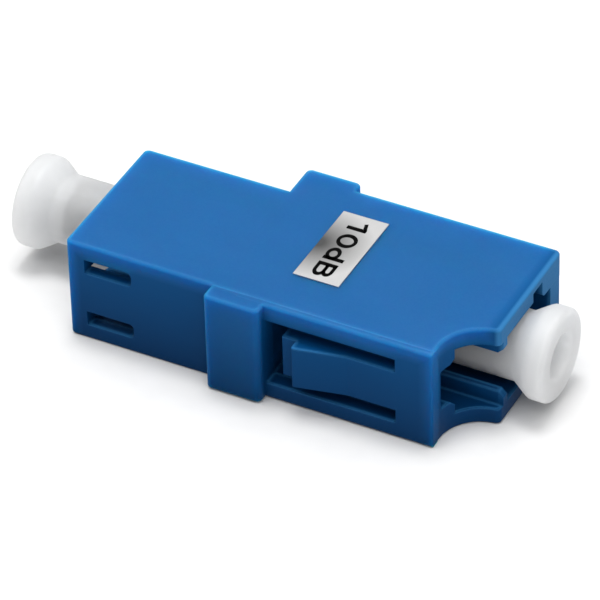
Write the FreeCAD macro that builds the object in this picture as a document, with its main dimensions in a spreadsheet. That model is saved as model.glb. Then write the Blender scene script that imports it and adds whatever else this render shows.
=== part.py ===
"""Fixed fibre optic attenuator of the adapter type: two ports face to face in one blue moulding.

Frame, in millimetres: X runs along the fibre axis with the front port at +X, Y runs across the broad
face with the latch side at -Y, and Z is up with the part lying on its broad face at Z = 0.
X = 0 is the plane where the two ferrules meet and Y = 0 is the fibre axis.
"""
import FreeCAD
import Part
import Sketcher
import math
import os

doc = FreeCAD.newDocument("attenuator")

# Driving dimensions
SIZES = {
    # housing outline
    "body_height": 6.76,
    "latch_reach": 10.0,
    "front_lip": 4.8,
    "rear_lip": 1.2,
    "near_side": 6.48,
    "near_wall": 0.75,
    "rear_far_side": 3.25,
    "front_far_side": 4.88,
    "skin_thickness": 0.33,
    "skin_drop": 0.05,
    "edge_radius": 0.17,
    "corner_radius": 0.36,
    # flange
    "flange_thickness": 3.5,
    "flange_reach": 0.76,
    "flange_drop": 0.06,
    # front corner scoop
    "scoop_radius": 2.5,
    "scoop_lead": 0.65,
    # ports
    "port_width": 4.6,
    "stop_depth": 1.15,
    "stop_height": 0.95,
    "stop_chamfer": 0.3,
    "chamber_margin": 0.1,
    "rail_height": 0.88,
    "rail_width": 0.5,
    "rail_lead": 0.35,
    "rear_lead": 0.3,
    "relief_width": 1.2,
    "relief_skin": 0.45,
    "web_thickness": 3.2,
    # latch windows and panel tongues
    "window_length": 3.05,
    "window_width": 0.95,
    "window_gap": 2.8,
    "window_radius": 0.3,
    "tongue_width": 2.75,
    "slot_width": 0.9,
    "tongue_tip": 1.1,
    "wedge_start": 2.0,
    "wedge_length": 3.25,
    "wedge_height": 0.68,
    "wedge_radius": 0.15,
    "tip_drop": 0.12,
    "far_wall": 1.33,
    "far_gap_height": 3.55,
    "far_gap_radius": 0.4,
    "far_end_recess": 0.08,
    # sleeve, its holders and the ring that sets the loss
    "sleeve_length": 6.8,
    "sleeve_radius": 0.81,
    "ferrule_radius": 0.625,
    "sleeve_slit": 0.3,
    "sleeve_play": 0.04,
    "holder_wall": 0.5,
    "holder_lip": 0.6,
    "lip_opening": 0.72,
    "spigot_clearance": 0.02,
    "holder_flange": 0.7,
    "holder_port_play": 0.25,
    "ring_thickness": 0.4,
    "ring_hole": 0.2,
    "ring_clearance": 0.005,
    # dust caps
    "cap_port_play": 0.2,
    "cap_rim_inset": 0.56,
    "cap_neck_gap": 0.1,
    "cap_cone": 1.1,
    "cap_rim": 1.1,
    "cap_flare_radius": 0.5,
    "cap_edge_radius": 0.3,
    "cap_lip_radius": 0.25,
    "cap_recess_radius": 1.35,
    "cap_recess_depth": 1.7,
    "cap_floor": 1.2,
    "cap_clearance": 0.05,
    "cap_seat_gap": 0.1,
    # value label
    "label_gap": 0.25,
    "label_width": 2.9,
    "label_near": 3.62,
    "label_length": 6.4,
    "label_thickness": 0.06,
}


def make_sheet(sizes):
    """The spreadsheet of driving dimensions, one named cell each."""
    sheet = doc.addObject("Spreadsheet::Sheet", "dims")
    for row, (name, number) in enumerate(sizes.items(), start=1):
        sheet.set(f"A{row}", name)
        sheet.set(f"B{row}", str(number))
        sheet.setAlias(f"B{row}", name)
    doc.recompute()
    return sheet


class Size:
    """A length that knows both its number and the sheet formula it comes from."""

    def __init__(self, number, formula):
        self.number = number
        self.formula = formula

    def __add__(self, other):
        return Size(self.number + other.number, f"({self.formula} + {other.formula})")

    def __sub__(self, other):
        return Size(self.number - other.number, f"({self.formula} - {other.formula})")

    def __mul__(self, factor):
        return Size(self.number * factor, f"({self.formula} * {factor})")

    def __truediv__(self, factor):
        return Size(self.number / factor, f"({self.formula} / {factor})")

    def __neg__(self):
        return Size(-self.number, f"(-{self.formula})")


sheet = make_sheet(SIZES)
d = {name: Size(float(sheet.get(name)), f"dims.{name}") for name in SIZES}
ZERO = Size(0.0, "0")
SAME_PLACE = 1e-4
MOSTLY = 0.5

# Places worked out from the driving dimensions, measured from the fibre axis and the meeting plane
top = d["body_height"] / 2
port_half = d["port_width"] / 2
web_half = d["web_thickness"] / 2
flange_half = d["flange_thickness"] / 2
front_end = d["latch_reach"] + d["front_lip"]
rear_end = d["latch_reach"] + d["rear_lip"]
near_face = -(d["near_side"] + d["skin_thickness"])
chamber_near = d["near_wall"] - d["near_side"]
rail_near = -port_half - d["rail_width"]
rail_crest = port_half - d["rail_height"]
relief_near = port_half - d["relief_width"]
window_low = d["window_gap"] / 2
window_high = window_low + d["window_width"]
chamber_half = window_high + d["chamber_margin"]
far_wall_inner = d["front_far_side"] - d["far_wall"]
far_gap_half = d["far_gap_height"] / 2
tongue_half = d["tongue_width"] / 2
tongue_tip_x = flange_half + d["tongue_tip"]
wedge_x = flange_half + d["wedge_start"]
holder_bore = d["sleeve_radius"] + d["sleeve_play"]
holder_radius = holder_bore + d["holder_wall"]
holder_cavity = d["sleeve_length"] / 2 + d["sleeve_play"]
holder_seat = web_half + d["holder_flange"]
holder_flange_radius = port_half - d["holder_port_play"]


def bind(item, prop, size):
    """Tie a property to a length's sheet formula."""
    item.setExpression(prop, size.formula)


def new_body(name):
    """A body whose own X axis is the fibre axis, half the housing's height above the ground."""
    body = doc.addObject("PartDesign::Body", name)
    body.Label = name
    bind(body, "Placement.Base.z", top)
    return body


def turn_to_rear(body):
    """Turn a body half way round the vertical, so that it faces the rear port."""
    body.Placement = FreeCAD.Placement(FreeCAD.Vector(0, 0, top.number), FreeCAD.Rotation(180, 0, 0))
    bind(body, "Placement.Base.z", top)


def new_sketch(body, name, role, offset=ZERO):
    """A sketch on one of the body's own planes, moved along that plane's normal by offset."""
    sketch = body.newObject("Sketcher::SketchObject", name)
    plane = next(f for f in body.Origin.OriginFeatures if f.Role == role)
    sketch.AttachmentSupport = [(plane, "")]
    sketch.MapMode = "FlatFace"
    bind(sketch, "AttachmentOffset.Base.z", offset)
    return sketch


def dimension(sketch, kind, geometry, point, size):
    """Fix one coordinate of a sketch point to a sheet formula."""
    index = sketch.addConstraint(Sketcher.Constraint(kind, geometry, point, size.number))
    sketch.setExpression(f"Constraints[{index}]", size.formula)


def outline(sketch, corners, arcs=None):
    """A closed outline through the corners; arcs gives the radius of each side that is a hollow arc."""
    arcs = arcs or {}
    count = len(corners)
    points = [FreeCAD.Vector(x.number, y.number, 0) for x, y in corners]
    first = sketch.GeometryCount
    for i in range(count):
        start, end = points[i], points[(i + 1) % count]
        if i in arcs:
            sketch.addGeometry(hollow_arc(start, end, arcs[i].number), False)
        else:
            sketch.addGeometry(Part.LineSegment(start, end), False)
    for i in range(count):
        here = first + i
        after = first + (i + 1) % count
        start_point, end_point = (2, 1) if i in arcs else (1, 2)
        next_start = 2 if (i + 1) % count in arcs else 1
        sketch.addConstraint(Sketcher.Constraint("Coincident", here, end_point, after, next_start))
        dimension(sketch, "DistanceX", here, start_point, corners[i][0])
        dimension(sketch, "DistanceY", here, start_point, corners[i][1])
        if i in arcs:
            index = sketch.addConstraint(Sketcher.Constraint("Radius", here, arcs[i].number))
            sketch.setExpression(f"Constraints[{index}]", arcs[i].formula)


def hollow_arc(start, end, radius):
    """A quarter arc from start to end, centred straight along X from start and along Y from end."""
    centre = FreeCAD.Vector(end.x, start.y, 0)
    return Part.ArcOfCircle(Part.Circle(centre, FreeCAD.Vector(0, 0, 1), radius), math.pi / 2, math.pi)


def rectangle(sketch, left, right, low, high):
    outline(sketch, [(left, low), (right, low), (right, high), (left, high)])


def circle(sketch, radius):
    """A circle about the fibre axis."""
    ring = Part.Circle(FreeCAD.Vector(0, 0, 0), FreeCAD.Vector(0, 0, 1), radius.number)
    index = sketch.addGeometry(ring, False)
    sketch.addConstraint(Sketcher.Constraint("Coincident", index, 3, -1, 1))
    fixed = sketch.addConstraint(Sketcher.Constraint("Radius", index, radius.number))
    sketch.setExpression(f"Constraints[{fixed}]", radius.formula)


def pad(body, sketch, length):
    feature = body.newObject("PartDesign::Pad", sketch.Name + "_pad")
    feature.Profile = sketch
    bind(feature, "Length", length)
    doc.recompute()
    return feature


def pocket(body, sketch, length, reverse=False):
    """Cut a sketch into the body, and make sure that it took material away."""
    before = body.Shape.Volume
    feature = body.newObject("PartDesign::Pocket", sketch.Name + "_pocket")
    feature.Profile = sketch
    feature.Reversed = reverse
    bind(feature, "Length", length)
    doc.recompute()
    if body.Shape.Volume >= before:
        raise RuntimeError(f"{feature.Name} cuts nothing")
    return feature


def revolve(body, sketch):
    """Turn a sketch once round the fibre axis."""
    feature = body.newObject("PartDesign::Revolution", sketch.Name + "_turned")
    feature.Profile = sketch
    feature.ReferenceAxis = (sketch, ["H_Axis"])
    feature.Angle = 360
    doc.recompute()
    return feature


def round_edges(body, name, radius, wanted):
    """Round each edge of the body whose middle point and direction pass the test."""
    base = body.Tip
    names = []
    for number, edge in enumerate(base.Shape.Edges, start=1):
        if edge.Degenerated:
            continue
        middle = edge.valueAt((edge.FirstParameter + edge.LastParameter) / 2)
        along = edge.tangentAt((edge.FirstParameter + edge.LastParameter) / 2)
        if wanted(middle, along):
            names.append(f"Edge{number}")
    feature = body.newObject("PartDesign::Fillet", name)
    feature.Base = (base, names)
    bind(feature, "Radius", radius)
    doc.recompute()
    return feature


def upright(direction):
    return abs(direction.z) > MOSTLY


def near(value, size):
    """True where a coordinate lies on a place, to well within any real size."""
    return abs(value - size.number) < SAME_PLACE


def on_ring(point, place, radius):
    """True on the circle of that radius about the fibre axis."""
    return near(point.x, place) and near(math.hypot(point.y, point.z), radius)


# Housing

def add_core(body):
    """The block in plan: wider at the front, with the far flange tab and the scooped front latch corner."""
    scoop_x = front_end - d["scoop_radius"]
    scoop_y = d["scoop_lead"] - d["near_side"]
    far_tab = d["front_far_side"] + d["flange_reach"]
    plan = new_sketch(body, "plan", "XY_Plane", -top)
    corners = [
        (-rear_end, -d["near_side"]),
        (scoop_x, -d["near_side"]),
        (scoop_x, scoop_y),
        (front_end, scoop_y + d["scoop_radius"]),
        (front_end, d["front_far_side"]),
        (flange_half, d["front_far_side"]),
        (flange_half, far_tab),
        (-flange_half, far_tab),
        (-flange_half, d["rear_far_side"]),
        (-rear_end, d["rear_far_side"]),
    ]
    outline(plan, corners, arcs={2: d["scoop_radius"]})
    pad(body, plan, d["body_height"])

    def outer_corner(middle, along):
        tab_corner = near(abs(middle.x), flange_half) and not near(middle.y, far_tab)
        scoop_corner = near(middle.x, scoop_x)
        return upright(along) and not tab_corner and not scoop_corner

    round_edges(body, "core_corners", d["corner_radius"], outer_corner)
    round_edges(body, "core_edges", d["edge_radius"], lambda middle, along: not upright(along))


def add_skin(body):
    """The thin raised flank on the latch side of the front half, just below the broad faces."""
    end = front_end - d["scoop_radius"]
    skin = new_sketch(body, "flank", "XY_Plane", d["skin_drop"] - top)
    rectangle(skin, ZERO, end, near_face, d["skin_thickness"] - d["near_side"])
    pad(body, skin, d["body_height"] - d["skin_drop"] * 2)
    round_edges(body, "flank_edges", d["edge_radius"], lambda middle, along: near(middle.y, near_face))


def add_near_tab(body):
    """The flange tab on the latch side, just below the broad faces."""
    end = near_face - d["flange_reach"]
    tab = new_sketch(body, "near_tab", "XY_Plane", d["flange_drop"] - top)
    rectangle(tab, -flange_half, flange_half, end, d["skin_thickness"] - d["near_side"])
    pad(body, tab, d["body_height"] - d["flange_drop"] * 2)
    round_edges(
        body, "near_tab_corners", d["corner_radius"],
        lambda middle, along: upright(along) and near(middle.y, end),
    )
    round_edges(
        body, "near_tab_edges", d["edge_radius"],
        lambda middle, along: not upright(along) and near(middle.y, end),
    )


def port_outline():
    """Section of a port's mouth: latch stops, two guide rails, square plug cavity and far corner reliefs."""
    stop_face = port_half - d["stop_height"]
    stop_far = chamber_near + d["stop_depth"]
    relief_top = top - d["relief_skin"]
    upper = [
        (chamber_near, stop_face),
        (stop_far - d["stop_chamfer"], stop_face),
        (stop_far, stop_face + d["stop_chamfer"]),
        (stop_far, port_half),
        (rail_near, port_half),
        (rail_near, rail_crest),
        (-port_half, rail_crest),
        (-port_half, port_half),
        (relief_near, port_half),
        (relief_near, relief_top),
        (port_half, relief_top),
    ]
    return upper + [(y, -z) for y, z in reversed(upper)]


def cut_port(body, name, start, chamber_start, depth):
    """One port, with the latch chamber opened to its full height behind the latch stops."""
    mouth = new_sketch(body, name, "YZ_Plane", start)
    outline(mouth, port_outline())
    pocket(body, mouth, depth)
    chamber = new_sketch(body, name + "_chamber", "YZ_Plane", chamber_start)
    rectangle(chamber, chamber_near, chamber_near + d["stop_depth"], -chamber_half, chamber_half)
    pocket(body, chamber, d["latch_reach"] - web_half)


def cut_leads(body, name, end, inward, face, size, start, stop):
    """Bevel a port's end where its upper and lower faces meet it, from start to stop across the port."""
    leads = new_sketch(body, name, "XZ_Plane", -start)
    corners = [(end, face), (end + size * inward, face), (end, face + size)]
    outline(leads, corners)
    outline(leads, [(x, -z) for x, z in corners])
    pocket(body, leads, stop - start)


def cut_ports(body):
    """Both ports and the bore between them, with leads for the plug at the rail ends and the rear walls."""
    cut_port(body, "front_port", front_end, d["latch_reach"], front_end - web_half)
    cut_port(body, "rear_port", -web_half, -web_half, rear_end - web_half)
    cut_leads(body, "front_rail_ends", front_end, -1, rail_crest, d["rail_lead"], rail_near, -port_half)
    cut_leads(body, "rear_rail_ends", -rear_end, 1, rail_crest, d["rail_lead"], rail_near, -port_half)
    cut_leads(body, "rear_leads", -rear_end, 1, port_half, d["rear_lead"], -port_half, relief_near)
    bore = new_sketch(body, "web_bore", "YZ_Plane", web_half)
    circle(bore, holder_radius + d["spigot_clearance"])
    pocket(body, bore, d["web_thickness"])


def cut_far_gap(body):
    """The space behind the far tongue, open to the plug cavity and at the front end."""
    gap = new_sketch(body, "far_gap", "YZ_Plane", front_end)
    rectangle(gap, relief_near, far_wall_inner, -far_gap_half, far_gap_half)
    pocket(body, gap, front_end - flange_half)

    def cavity_corner(middle, along):
        on_line = near(middle.y, port_half) and near(abs(middle.z), far_gap_half)
        return on_line and abs(along.x) > MOSTLY

    round_edges(body, "far_gap_corners", d["far_gap_radius"], cavity_corner)
    recess = new_sketch(body, "far_end", "YZ_Plane", front_end)
    rectangle(recess, port_half, d["front_far_side"] + d["far_wall"], -far_gap_half, far_gap_half)
    pocket(body, recess, d["far_end_recess"])


def cut_windows(body):
    """Two latch windows in the rear half, which end at the latch stops."""
    inner_end = d["window_length"] - d["latch_reach"]
    windows = new_sketch(body, "windows", "XZ_Plane", d["near_side"])
    rectangle(windows, -d["latch_reach"], inner_end, window_low, window_high)
    rectangle(windows, -d["latch_reach"], inner_end, -window_high, -window_low)
    pocket(body, windows, d["near_side"] + chamber_near)
    round_edges(
        body, "window_corners", d["window_radius"],
        lambda middle, along: near(middle.x, inner_end) and abs(along.y) > MOSTLY,
    )


def cut_tongue(body, name, face, depth, reverse):
    """The U-shaped slot that frees a panel tongue, with a lowered tip."""
    high = tongue_half + d["slot_width"]
    slot = new_sketch(body, name, "XZ_Plane", -face)
    corners = [
        (flange_half, -high),
        (d["latch_reach"], -high),
        (d["latch_reach"], -tongue_half),
        (tongue_tip_x, -tongue_half),
        (tongue_tip_x, tongue_half),
        (d["latch_reach"], tongue_half),
        (d["latch_reach"], high),
        (flange_half, high),
    ]
    outline(slot, corners)
    pocket(body, slot, depth, reverse)
    tip = new_sketch(body, name + "_tip", "XZ_Plane", -face)
    rectangle(tip, tongue_tip_x, wedge_x, -tongue_half, tongue_half)
    pocket(body, tip, d["tip_drop"], reverse)


def add_wedge(body, name, face, outward):
    """The ramp on a tongue that snaps behind the panel."""
    crest = face + d["wedge_height"] * outward
    inside = face - d["tip_drop"] * outward
    wedge_end = wedge_x + d["wedge_length"]
    ramp = new_sketch(body, name, "XY_Plane", -tongue_half)
    corners = [(wedge_x, inside), (wedge_end, inside), (wedge_end, face), (wedge_x, crest)]
    outline(ramp, corners if outward > 0 else corners[::-1])
    pad(body, ramp, d["tongue_width"])
    round_edges(
        body, name + "_edges", d["wedge_radius"],
        lambda middle, along: near(middle.x, wedge_x) and near(middle.y, crest),
    )


def make_housing():
    body = new_body("housing")
    add_core(body)
    add_skin(body)
    add_near_tab(body)
    cut_ports(body)
    cut_far_gap(body)
    cut_windows(body)
    cut_tongue(body, "near_slot", near_face, chamber_near - near_face, False)
    cut_tongue(body, "far_slot", d["front_far_side"], d["far_wall"], True)
    add_wedge(body, "near_wedge", near_face, -1)
    add_wedge(body, "far_wedge", d["front_far_side"], 1)
    return body


# Alignment sleeve, its holders and the ring that sets the loss

def make_sleeve_holder(name):
    """A spigot in the web, a flange on it and a tube into the port, with a lip that keeps the sleeve in."""
    body = new_body(name)
    end = holder_cavity + d["holder_lip"]
    section = new_sketch(body, name + "_section", "XZ_Plane")
    outline(section, [
        (ZERO, holder_bore),
        (holder_cavity, holder_bore),
        (holder_cavity, d["lip_opening"]),
        (end, d["lip_opening"]),
        (end, holder_radius),
        (holder_seat, holder_radius),
        (holder_seat, holder_flange_radius),
        (web_half, holder_flange_radius),
        (web_half, holder_radius),
        (ZERO, holder_radius),
    ])
    revolve(body, section)
    return body


def make_split_sleeve():
    body = new_body("split_sleeve")
    ring = new_sketch(body, "sleeve_ring", "YZ_Plane", -(d["sleeve_length"] / 2))
    circle(ring, d["sleeve_radius"])
    circle(ring, d["ferrule_radius"])
    pad(body, ring, d["sleeve_length"])
    slit = new_sketch(body, "sleeve_slit_cut", "YZ_Plane", d["sleeve_length"] / 2)
    rectangle(slit, -(d["sleeve_slit"] / 2), d["sleeve_slit"] / 2, ZERO, d["sleeve_radius"] * 2)
    pocket(body, slit, d["sleeve_length"])
    return body


def make_gap_ring():
    body = new_body("gap_ring")
    ring = new_sketch(body, "spacing_ring", "YZ_Plane", -(d["ring_thickness"] / 2))
    circle(ring, d["ferrule_radius"] - d["ring_clearance"])
    circle(ring, d["ring_hole"])
    pad(body, ring, d["ring_thickness"])
    return body


# Dust caps

def make_dust_cap(name):
    """A hollow stem over the sleeve holder, flaring to a rim with a round recess in its end."""
    body = new_body(name)
    stem_start = holder_seat + d["cap_seat_gap"]
    stem_radius = port_half - d["cap_port_play"]
    rim_radius = top - d["cap_rim_inset"]
    neck = front_end + d["cap_neck_gap"]
    rim_start = neck + d["cap_cone"]
    end = rim_start + d["cap_rim"]
    recess_floor = end - d["cap_recess_depth"]
    bore_end = recess_floor - d["cap_floor"]
    bore = holder_radius + d["cap_clearance"]
    section = new_sketch(body, name + "_section", "XZ_Plane")
    outline(section, [
        (stem_start, bore),
        (bore_end, bore),
        (bore_end, ZERO),
        (recess_floor, ZERO),
        (recess_floor, d["cap_recess_radius"]),
        (end, d["cap_recess_radius"]),
        (end, rim_radius),
        (rim_start, rim_radius),
        (neck, stem_radius),
        (stem_start, stem_radius),
    ])
    revolve(body, section)
    round_edges(
        body, name + "_flare", d["cap_flare_radius"],
        lambda middle, along: on_ring(middle, rim_start, rim_radius),
    )
    round_edges(
        body, name + "_edge", d["cap_edge_radius"],
        lambda middle, along: on_ring(middle, end, rim_radius),
    )
    round_edges(
        body, name + "_lip", d["cap_lip_radius"],
        lambda middle, along: on_ring(middle, end, d["cap_recess_radius"]),
    )
    return body


# Value label

def make_value_label():
    body = new_body("value_label")
    face = new_sketch(body, "label_face", "XY_Plane", top)
    start = flange_half + d["label_gap"]
    rectangle(face, start, start + d["label_width"], -d["label_near"], d["label_length"] - d["label_near"])
    pad(body, face, d["label_thickness"])
    return body


def check(bodies):
    """Stop unless every object computed and every sub-part is one valid solid."""
    for item in doc.Objects:
        if "Invalid" in item.State or "Error" in item.State:
            raise RuntimeError(f"{item.Name} failed: {item.State}")
    for body in bodies:
        if body.Shape.isNull() or not body.Shape.isValid():
            raise RuntimeError(f"{body.Label} has no valid shape")
        if len(body.Shape.Solids) != 1:
            raise RuntimeError(f"{body.Label} is not one solid")


def main():
    rear_holder = make_sleeve_holder("sleeve_holder_rear")
    rear_cap = make_dust_cap("dust_cap_rear")
    turn_to_rear(rear_holder)
    turn_to_rear(rear_cap)
    bodies = [
        make_housing(),
        make_sleeve_holder("sleeve_holder_front"),
        rear_holder,
        make_split_sleeve(),
        make_gap_ring(),
        make_dust_cap("dust_cap_front"),
        rear_cap,
        make_value_label(),
    ]
    doc.recompute()
    check(bodies)
    os.makedirs("parts", exist_ok=True)
    for body in bodies:
        body.Shape.exportStep(f"parts/{body.Label}.step")
        box = body.Shape.optimalBoundingBox()
        print(body.Label, round(body.Shape.Volume, 3), [round(v, 3) for v in (
            box.XMin, box.XMax, box.YMin, box.YMax, box.ZMin, box.ZMax)])


main()
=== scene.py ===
"""Looks of the fibre optic attenuator: materials, printed value, studio light and camera."""
import bmesh
import bpy
import math
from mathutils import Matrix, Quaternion, Vector


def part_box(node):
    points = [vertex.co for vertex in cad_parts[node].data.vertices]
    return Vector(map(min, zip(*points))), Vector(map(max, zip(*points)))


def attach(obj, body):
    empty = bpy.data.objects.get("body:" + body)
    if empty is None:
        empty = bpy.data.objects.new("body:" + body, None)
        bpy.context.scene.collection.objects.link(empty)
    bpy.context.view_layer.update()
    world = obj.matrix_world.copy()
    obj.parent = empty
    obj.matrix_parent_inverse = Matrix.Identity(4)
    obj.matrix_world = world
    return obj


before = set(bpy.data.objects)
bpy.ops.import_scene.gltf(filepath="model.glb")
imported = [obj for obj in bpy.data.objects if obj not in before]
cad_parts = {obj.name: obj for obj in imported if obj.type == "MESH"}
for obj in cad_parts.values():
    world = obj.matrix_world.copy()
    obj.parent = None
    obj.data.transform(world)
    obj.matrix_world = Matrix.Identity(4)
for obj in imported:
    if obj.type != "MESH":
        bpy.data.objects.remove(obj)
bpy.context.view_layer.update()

MM = 0.001

# Camera, as fitted to the photograph
IMAGE_SIDE = 600
FOCAL_PIXELS = 5135
SENSOR_MM = 36
CAMERA_AIM = Vector((1.46, -1.85, 3.42)) * MM
CAMERA_DISTANCE = 293.8 * MM
CAMERA_AZIMUTH = math.radians(28.29)
CAMERA_ELEVATION = math.radians(38.46)
CAMERA_ROLL = math.radians(-1.69)

# Studio, in metres
LIGHT_AIM = Vector((0, 0, 3 * MM))
FLOOR_HALF_SIDE = 4.0
SURROUND_STRENGTH = 0.35

# Part of the noise's range that is spread over a material's colours and roughness
NOISE_LOW = 0.3
NOISE_HIGH = 0.7

# Rounded edges: rays per point, cosine of the turn from full edge to flat, and how far up an edge faces
BEVEL_SAMPLES = 6
EDGE_TURN = (0.96, 0.998)
EDGE_UP = (0.5, 0.9)

# Zones of the housing, as two depths in from a side of its box: full up to the first, gone at the second
TOP_EDGE = (0.5 * MM, 1.0 * MM)
REAR_END = (0.5 * MM, 0.9 * MM)
FRONT_END = (2.8 * MM, 3.4 * MM)
LATCH_WALL = (1.5 * MM, 1.7 * MM)
TAB_FACE = (0.4 * MM, 0.6 * MM)
FRONT_RIM = (0.3 * MM, 0.9 * MM)
HIGHLIGHT_RIM = (0.1 * MM, 0.35 * MM)

# Zone of the flange tabs, by distance in front of the middle: full up to the first, gone at the second
TABS = (2.1 * MM, 2.3 * MM)

# Painted highlight on the plastic: radius at upper edges, and heights over the underside where the front
# rim is plain and where its painted highlight is full
HIGHLIGHT_RADIUS = 0.40 * MM
HIGHLIGHT_HEIGHTS = (1.0 * MM, 5.0 * MM)

# Printed value: strokes drawn in one width, given in capital heights, then stretched along the label
PRINT_HEIGHT = 1.23 * MM
PRINT_STRETCH = 1.42
HALF_STROKE = 0.0875
PRINT_BASELINE = 0.83 * MM
PRINT_THICKNESS = 0.004 * MM
PRINT_STARTS = {"1": 0.52 * MM, "0": 1.80 * MM, "d": 3.23 * MM, "B": 4.70 * MM}
ARC_STEPS = 24


class Shader:
    """A material's node tree with short calls for its nodes and links."""

    def __init__(self, name):
        self.material = bpy.data.materials.new(name)
        self.material.use_nodes = True
        self.nodes = self.material.node_tree.nodes
        self.links = self.material.node_tree.links
        self.surface = self.nodes["Principled BSDF"]
        self.place = self.nodes.new("ShaderNodeTexCoord").outputs["Object"]

    def set(self, **values):
        """Set the surface's own sockets; a socket's name is written with underscores."""
        for name, value in values.items():
            self.surface.inputs[name.replace("_", " ")].default_value = value

    def feed(self, socket, output):
        """Link an output to one of the surface's sockets."""
        self.links.new(output, self.surface.inputs[socket])

    def noise(self, size, stretch=(1, 1, 1)):
        """Noise whose lumps are about size across; stretch makes them longer along an axis."""
        mapping = self.nodes.new("ShaderNodeMapping")
        mapping.inputs["Scale"].default_value = [1 / (size * s) for s in stretch]
        self.links.new(self.place, mapping.inputs["Vector"])
        texture = self.nodes.new("ShaderNodeTexNoise")
        texture.inputs["Scale"].default_value = 1.0
        texture.inputs["Detail"].default_value = 3.0
        self.links.new(mapping.outputs["Vector"], texture.inputs["Vector"])
        return texture.outputs["Fac"]

    def ramp(self, factor, first, second, start=NOISE_LOW, end=NOISE_HIGH):
        """A colour that goes from first to second while a factor goes from start to end."""
        node = self.nodes.new("ShaderNodeValToRGB")
        stops = [(start, first), (end, second)]
        for element, (position, colour) in zip(node.color_ramp.elements, stops):
            element.position = position
            element.color = (*colour, 1.0)
        self.links.new(factor, node.inputs["Fac"])
        return node.outputs["Color"]

    def spread(self, factor, low, high, start=NOISE_LOW, end=NOISE_HIGH):
        """A number that goes from low to high while a factor goes from start to end."""
        node = self.nodes.new("ShaderNodeMapRange")
        node.inputs["From Min"].default_value = start
        node.inputs["From Max"].default_value = end
        node.inputs["To Min"].default_value = low
        node.inputs["To Max"].default_value = high
        self.links.new(factor, node.inputs["Value"])
        return node.outputs["Result"]

    def mix(self, factor, first, second):
        """Blend two colour outputs by a factor output."""
        node = self.nodes.new("ShaderNodeMix")
        node.data_type = "RGBA"
        self.links.new(factor, node.inputs["Factor"])
        self.links.new(first, node.inputs["A"])
        self.links.new(second, node.inputs["B"])
        return node.outputs["Result"]

    def combine(self, operation, first, second):
        """One number from two, by a named operation."""
        node = self.nodes.new("ShaderNodeMath")
        node.operation = operation
        self.links.new(first, node.inputs[0])
        self.links.new(second, node.inputs[1])
        return node.outputs["Value"]

    def part(self, vector, axis):
        """One coordinate of a vector output."""
        node = self.nodes.new("ShaderNodeSeparateXYZ")
        self.links.new(vector, node.inputs["Vector"])
        return node.outputs[axis]

    def rounded(self, radius):
        """The surface direction with every sharp edge rounded off by radius."""
        node = self.nodes.new("ShaderNodeBevel")
        node.samples = BEVEL_SAMPLES
        node.inputs["Radius"].default_value = radius
        return node.outputs["Normal"]

    def bump(self, height, depth, normal=None):
        """A bump of real depth, on top of another surface direction if one is given."""
        node = self.nodes.new("ShaderNodeBump")
        node.inputs["Strength"].default_value = 1.0
        node.inputs["Distance"].default_value = depth
        self.links.new(height, node.inputs["Height"])
        if normal:
            self.links.new(normal, node.inputs["Normal"])
        self.feed("Normal", node.outputs["Normal"])

    def edges(self, radius):
        """1 on upper edges, 0 on flat faces and undersides: how far the rounded direction turns away."""
        rounded = self.rounded(radius)
        turn = self.nodes.new("ShaderNodeVectorMath")
        turn.operation = "DOT_PRODUCT"
        self.links.new(rounded, turn.inputs[0])
        self.links.new(self.nodes.new("ShaderNodeNewGeometry").outputs["Normal"], turn.inputs[1])
        turned = self.spread(turn.outputs["Value"], 1.0, 0.0, *EDGE_TURN)
        upper = self.spread(self.part(rounded, "Z"), 0.0, 1.0, *EDGE_UP)
        return self.combine("MULTIPLY", turned, upper)

    def patch(self, centre, radius):
        """1 at a point, falling to 0 at a distance from it."""
        node = self.nodes.new("ShaderNodeVectorMath")
        node.operation = "DISTANCE"
        node.inputs[1].default_value = centre
        self.links.new(self.place, node.inputs[0])
        return self.spread(node.outputs["Value"], 1.0, 0.0, start=0.0, end=radius)

    def along(self, axis, low, high):
        """0 at low and 1 at high along an axis of the frame."""
        return self.spread(self.part(self.place, axis), 0.0, 1.0, start=low, end=high)

    def below(self, axis, start, zone):
        """1 at a start on an axis, falling to 0 between a zone's two distances below it."""
        full, gone = zone
        return self.along(axis, start - gone, start - full)

    def above(self, axis, start, zone):
        """1 at a start on an axis, falling to 0 between a zone's two distances above it."""
        full, gone = zone
        return self.along(axis, start + gone, start + full)


def solid_edges(s):
    """1 in the housing's solid edges, where light gets in, and 0 in its thin walls and front rim."""
    low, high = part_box("housing")
    both_ends = s.combine("MAXIMUM", s.above("X", low.x, REAR_END), s.below("X", high.x, FRONT_END))
    wall_ends = s.combine("MINIMUM", both_ends, s.above("Y", low.y, LATCH_WALL))
    tab_edge = s.combine("MINIMUM", s.above("Y", low.y, TAB_FACE), s.above("X", 0.0, TABS))
    side_edges = s.combine("MAXIMUM", wall_ends, tab_edge)
    edges = s.combine("MAXIMUM", s.below("Z", high.z, TOP_EDGE), side_edges)
    rim, past_rim = FRONT_RIM
    behind_rim = s.along("X", high.x - rim, high.x - past_rim)
    return s.combine("MINIMUM", edges, behind_rim)


def port_rim_highlight(s):
    """1 on the end of the front port above its floor, where a highlight is painted, and 0 elsewhere."""
    low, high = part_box("housing")
    plain, painted_highlight = HIGHLIGHT_HEIGHTS
    above_floor = s.along("Z", low.z + plain, low.z + painted_highlight)
    return s.combine("MINIMUM", s.below("X", high.x, HIGHLIGHT_RIM), above_floor)


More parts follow.
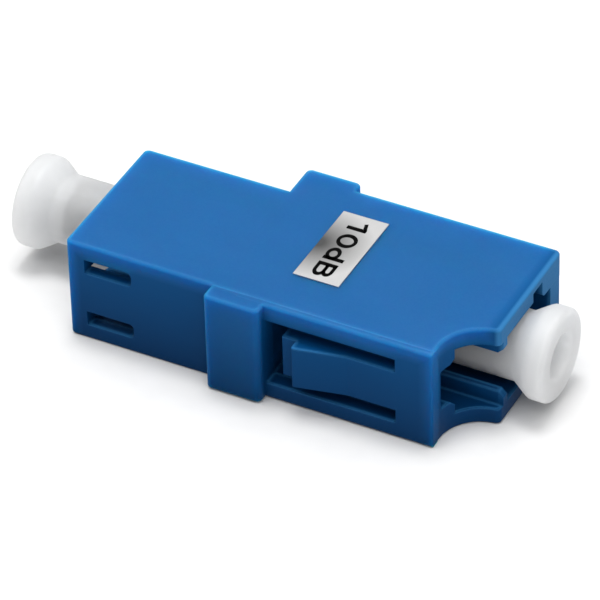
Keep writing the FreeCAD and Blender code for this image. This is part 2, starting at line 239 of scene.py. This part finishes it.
def blue_plastic():
    """Blue moulding compound, milky in its solid edges, with fine grain and flow marks, painted shade on
    its thin walls and lower part, and painted highlights on upper edges and the front port's rim.
    """
    s = Shader("blue_plastic")
    low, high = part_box("housing")
    flow = s.noise(3.0 * MM, stretch=(2.5, 1, 1))
    speck = s.noise(0.12 * MM)
    # Painted shade: this height mask darkens the colours towards the bottom
    height = s.along("Z", low.z, high.z)
    solid = solid_edges(s)
    # Solid edges are clean or dusty at the top and have painted shade, darker towards the foot
    clean = s.ramp(flow, (0.009, 0.097, 0.285), (0.011, 0.103, 0.300))
    dusty = s.ramp(flow, (0.013, 0.105, 0.297), (0.015, 0.111, 0.312))
    painted_shade_foot = s.ramp(flow, (0.003, 0.041, 0.126), (0.004, 0.044, 0.134))
    # Thin walls have painted-shade colours, darker than the solid edges and darker still at the foot
    wall_painted_shade = s.ramp(flow, (0.001, 0.069, 0.220), (0.002, 0.073, 0.230))
    wall_painted_shade_foot = s.ramp(flow, (0.001, 0.031, 0.106), (0.001, 0.034, 0.113))
    # Painted highlight colour, lighter than the plastic's own
    painted_highlight = s.ramp(flow, (0.028, 0.165, 0.380), (0.032, 0.173, 0.395))
    plain = s.mix(s.spread(speck, 0.0, 1.0), clean, dusty)
    colour = s.mix(solid, s.mix(height, wall_painted_shade_foot, wall_painted_shade), s.mix(height, painted_shade_foot, plain))
    # Painted highlight on upward-facing edges and on the front port's rim
    highlight_mask = s.combine("MAXIMUM", s.edges(HIGHLIGHT_RADIUS), port_rim_highlight(s))
    s.feed("Base Color", s.mix(highlight_mask, colour, painted_highlight))
    s.feed("Roughness", s.spread(speck, 0.40, 0.50))
    s.feed("Subsurface Weight", solid)
    s.set(Specular_IOR_Level=0.06, Subsurface_Radius=(0.01, 0.7, 1.0), Subsurface_Scale=3.0 * MM)
    s.bump(s.noise(0.06 * MM), depth=0.0015 * MM, normal=s.rounded(0.06 * MM))
    return s.material


def holder_plastic():
    """The stiffer plastic of the sleeve holders."""
    s = Shader("holder_plastic")
    grain = s.noise(0.2 * MM)
    s.feed("Base Color", s.ramp(grain, (0.010, 0.09, 0.30), (0.014, 0.10, 0.33)))
    s.feed("Roughness", s.spread(grain, 0.42, 0.52))
    s.bump(s.noise(0.05 * MM), depth=0.001 * MM, normal=s.rounded(0.04 * MM))
    return s.material


def ceramic():
    """Polished zirconia with faint grinding rings."""
    s = Shader("ceramic")
    rings = s.noise(0.05 * MM, stretch=(1, 40, 40))
    s.feed("Base Color", s.ramp(rings, (0.86, 0.85, 0.80), (0.90, 0.89, 0.85)))
    s.feed("Roughness", s.spread(rings, 0.10, 0.18))
    s.bump(rings, depth=0.0003 * MM)
    return s.material


def ring_metal():
    """Lapped steel of the ring that sets the loss."""
    s = Shader("ring_metal")
    lapping = s.noise(0.03 * MM)
    s.feed("Base Color", s.ramp(lapping, (0.52, 0.52, 0.54), (0.60, 0.60, 0.62)))
    s.feed("Roughness", s.spread(lapping, 0.25, 0.38))
    s.set(Metallic=1.0)
    s.bump(lapping, depth=0.0005 * MM)
    return s.material


def cap_plastic():
    """Soft milky polyethylene that lets a little light through, with painted shade darkening it towards
    the top and painted light lightening its lower part.
    """
    s = Shader("cap_plastic")
    low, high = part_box("dust_cap_front")
    cloud = s.noise(1.4 * MM)
    # Painted light and shade: the lower colour is lighter and the upper one darker than the plastic's
    # own, blended by height
    clear = s.ramp(cloud, (0.84, 0.85, 0.86), (0.86, 0.87, 0.88))
    painted_shade_top = s.ramp(cloud, (0.47, 0.48, 0.49), (0.49, 0.50, 0.51))
    s.feed("Base Color", s.mix(s.along("Z", low.z, high.z), clear, painted_shade_top))
    s.feed("Roughness", s.spread(s.noise(0.25 * MM), 0.40, 0.52))
    s.set(Subsurface_Weight=1.0, Subsurface_Radius=(1.0, 1.0, 1.0), Subsurface_Scale=8.0 * MM)
    s.bump(s.noise(0.10 * MM), depth=0.002 * MM, normal=s.rounded(0.45 * MM))
    return s.material


def label_foil():
    """Satin foil with a painted dark reflection in a soft patch towards the flange, and fine lines along
    the label.
    """
    s = Shader("label_foil")
    low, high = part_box("value_label")
    lines = s.noise(0.03 * MM, stretch=(1, 40, 1))
    # Painted reflection: dark near the flange end, fading to light grey across the label
    flange_side = Vector((low.x, (low.y + high.y) / 2, high.z))
    patch = s.patch(flange_side, radius=3.4 * MM)
    s.feed("Base Color", s.ramp(patch, (0.57, 0.57, 0.57), (0.08, 0.08, 0.08), start=0.05, end=0.9))
    s.feed("Roughness", s.spread(lines, 0.38, 0.50))
    s.set(Metallic=0.7)
    s.bump(lines, depth=0.0006 * MM, normal=s.rounded(0.03 * MM))
    return s.material


def black_ink():
    """Screen ink with a slightly uneven film."""
    s = Shader("black_ink")
    film = s.noise(0.08 * MM)
    s.feed("Base Color", s.ramp(film, (0.001, 0.001, 0.001), (0.004, 0.004, 0.004)))
    s.feed("Roughness", s.spread(film, 0.55, 0.70))
    s.set(Specular_IOR_Level=0.02)
    s.bump(film, depth=0.0004 * MM)
    return s.material


def floor_paper():
    """White studio paper."""
    s = Shader("floor_paper")
    fibre = s.noise(1.5 * MM)
    s.feed("Base Color", s.ramp(fibre, (0.74, 0.74, 0.74), (0.76, 0.76, 0.76)))
    s.set(Roughness=0.9, Specular_IOR_Level=0.1)
    return s.material


def dress(node, material):
    """Give a CAD node its material."""
    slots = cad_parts[node].data.materials
    slots.clear()
    slots.append(material)


def dress_nodes():
    """One material for each kind of piece."""
    looks = {
        blue_plastic: ["housing"],
        holder_plastic: ["sleeve_holder_front", "sleeve_holder_rear"],
        ceramic: ["split_sleeve"],
        ring_metal: ["gap_ring"],
        cap_plastic: ["dust_cap_front", "dust_cap_rear"],
        label_foil: ["value_label"],
    }
    for make, nodes in looks.items():
        material = make()
        for node in nodes:
            dress(node, material)


def arc(centre, radii, start, end):
    """Points on an elliptical arc between two angles in degrees."""
    angles = [math.radians(start + (end - start) * i / ARC_STEPS) for i in range(ARC_STEPS + 1)]
    return [(centre[0] + radii[0] * math.cos(a), centre[1] + radii[1] * math.sin(a)) for a in angles]


def oval(width, height):
    """The centre line of a closed oval that stands on the baseline."""
    return arc((width / 2, height / 2), (width / 2 - HALF_STROKE, height / 2 - HALF_STROKE), 0, 360)


def bowl(bottom, top, straight, bulge):
    """The centre line of a half loop to the right of a stem, between two heights."""
    curve = arc((straight, (bottom + top) / 2), (bulge, (top - bottom) / 2), -90, 90)
    return [(HALF_STROKE, bottom), *curve, (HALF_STROKE, top)]


def sign_one():
    """A stem and a slanted flag."""
    stem = 0.41
    flag_height = 0.76
    return [
        [(stem, 0), (stem, 1)],
        [(HALF_STROKE / 2, flag_height), (stem, 1 - HALF_STROKE)],
    ]


def sign_zero():
    """One oval as high as a capital."""
    return [oval(width=0.75, height=1)]


def sign_d():
    """An oval and a stem on its right, a little higher than a capital."""
    width = 0.68
    stem = width - HALF_STROKE
    stem_height = 1.06
    return [
        [(stem, 0), (stem, stem_height)],
        oval(width, height=0.72),
    ]


def sign_b():
    """A stem and two bowls that meet at the waist."""
    waist = 0.54
    straight = 0.42
    return [
        [(HALF_STROKE, 0), (HALF_STROKE, 1)],
        bowl(HALF_STROKE, waist, straight, bulge=0.23),
        bowl(waist, 1 - HALF_STROKE, straight, bulge=0.19),
    ]


def run_on(points):
    """A path with one more point at each end: the next one round a closed path, or its own end again."""
    is_closed = (points[0] - points[-1]).length < HALF_STROKE / 100
    before = points[-2] if is_closed else points[0]
    after = points[1] if is_closed else points[-1]
    return [before, *points, after]


def ribbon(mesh, path):
    """Add a flat stroke of constant width along a path to a mesh under construction."""
    longer = run_on([Vector(p) for p in path])
    rails = []
    for before, point, after in zip(longer, longer[1:], longer[2:]):
        along = (after - before).normalized()
        side = Vector((-along.y, along.x)) * HALF_STROKE
        rails.append([mesh.verts.new((*(point + side * turn), 0)) for turn in (-1, 1)])
    for (right, left), (next_right, next_left) in zip(rails, rails[1:]):
        mesh.faces.new((right, next_right, next_left, left))


def print_mesh():
    """The signs laid on the label, read from far to near with their tops towards the front."""
    low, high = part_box("value_label")
    signs = {"1": sign_one, "0": sign_zero, "d": sign_d, "B": sign_b}
    ink = bmesh.new()
    for sign, start in PRINT_STARTS.items():
        first = len(ink.verts)
        for path in signs[sign]():
            ribbon(ink, path)
        ink.verts.ensure_lookup_table()
        for v in ink.verts[first:]:
            v.co = Vector((
                low.x + PRINT_BASELINE + v.co.y * PRINT_HEIGHT,
                high.y - start - v.co.x * PRINT_HEIGHT * PRINT_STRETCH,
                high.z + PRINT_THICKNESS,
            ))
    mesh = bpy.data.meshes.new("value_print")
    ink.to_mesh(mesh)
    ink.free()
    return mesh


def add_print():
    """The value printed on the label, a thin film of ink."""
    mesh = print_mesh()
    mesh.materials.append(black_ink())
    printed = bpy.data.objects.new("value_print", mesh)
    bpy.context.scene.collection.objects.link(printed)
    film = printed.modifiers.new("film", "SOLIDIFY")
    film.thickness = PRINT_THICKNESS
    film.offset = -1
    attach(printed, "adapter")


def add_floor():
    """A flat sheet of paper that isn't mirrored in the part."""
    side = FLOOR_HALF_SIDE
    mesh = bpy.data.meshes.new("floor")
    corners = [(-side, -side, 0), (side, -side, 0), (side, side, 0), (-side, side, 0)]
    mesh.from_pydata(corners, [], [(0, 1, 2, 3)])
    mesh.materials.append(floor_paper())
    floor = bpy.data.objects.new("floor", mesh)
    bpy.context.scene.collection.objects.link(floor)
    floor.visible_glossy = False


def add_soft_box(name, place, size, power):
    """A square light at a place, turned to the part."""
    data = bpy.data.lights.new(name, "AREA")
    data.shape = "SQUARE"
    data.size = size
    data.energy = power
    light = bpy.data.objects.new(name, data)
    light.location = place
    light.rotation_mode = "QUATERNION"
    light.rotation_quaternion = (Vector(place) - LIGHT_AIM).to_track_quat("Z", "Y")
    bpy.context.scene.collection.objects.link(light)


def add_studio():
    """A small and a wide soft box overhead, weak ones at both ends and a dim even surround."""
    add_soft_box("overhead", place=(-0.02, 0.035, 0.50), size=0.14, power=1.1)
    add_soft_box("wide", place=(0, 0.02, 0.50), size=0.80, power=3.3)
    add_soft_box("front", place=(0.42, -0.08, 0.16), size=0.30, power=0.22)
    add_soft_box("rear", place=(-0.42, 0.0, 0.16), size=0.30, power=0.12)
    world = bpy.data.worlds.new("surround")
    world.use_nodes = True
    background = world.node_tree.nodes["Background"]
    background.inputs["Color"].default_value = (1, 1, 1, 1)
    background.inputs["Strength"].default_value = SURROUND_STRENGTH
    bpy.context.scene.world = world
    bpy.context.scene.view_settings.view_transform = "Standard"


def add_camera():
    """The photograph's view."""
    data = bpy.data.cameras.new("camera")
    data.sensor_width = SENSOR_MM
    data.lens = SENSOR_MM * FOCAL_PIXELS / IMAGE_SIDE
    data.clip_start = CAMERA_DISTANCE / 10
    camera = bpy.data.objects.new("camera", data)
    back = Vector((
        math.sin(CAMERA_AZIMUTH) * math.cos(CAMERA_ELEVATION),
        -math.cos(CAMERA_AZIMUTH) * math.cos(CAMERA_ELEVATION),
        math.sin(CAMERA_ELEVATION),
    ))
    camera.location = CAMERA_AIM + back * CAMERA_DISTANCE
    camera.rotation_mode = "QUATERNION"
    camera.rotation_quaternion = back.to_track_quat("Z", "Y") @ Quaternion((0, 0, 1), CAMERA_ROLL)
    bpy.context.scene.collection.objects.link(camera)
    bpy.context.scene.camera = camera


dress_nodes()
add_print()
add_floor()
add_studio()
add_camera()
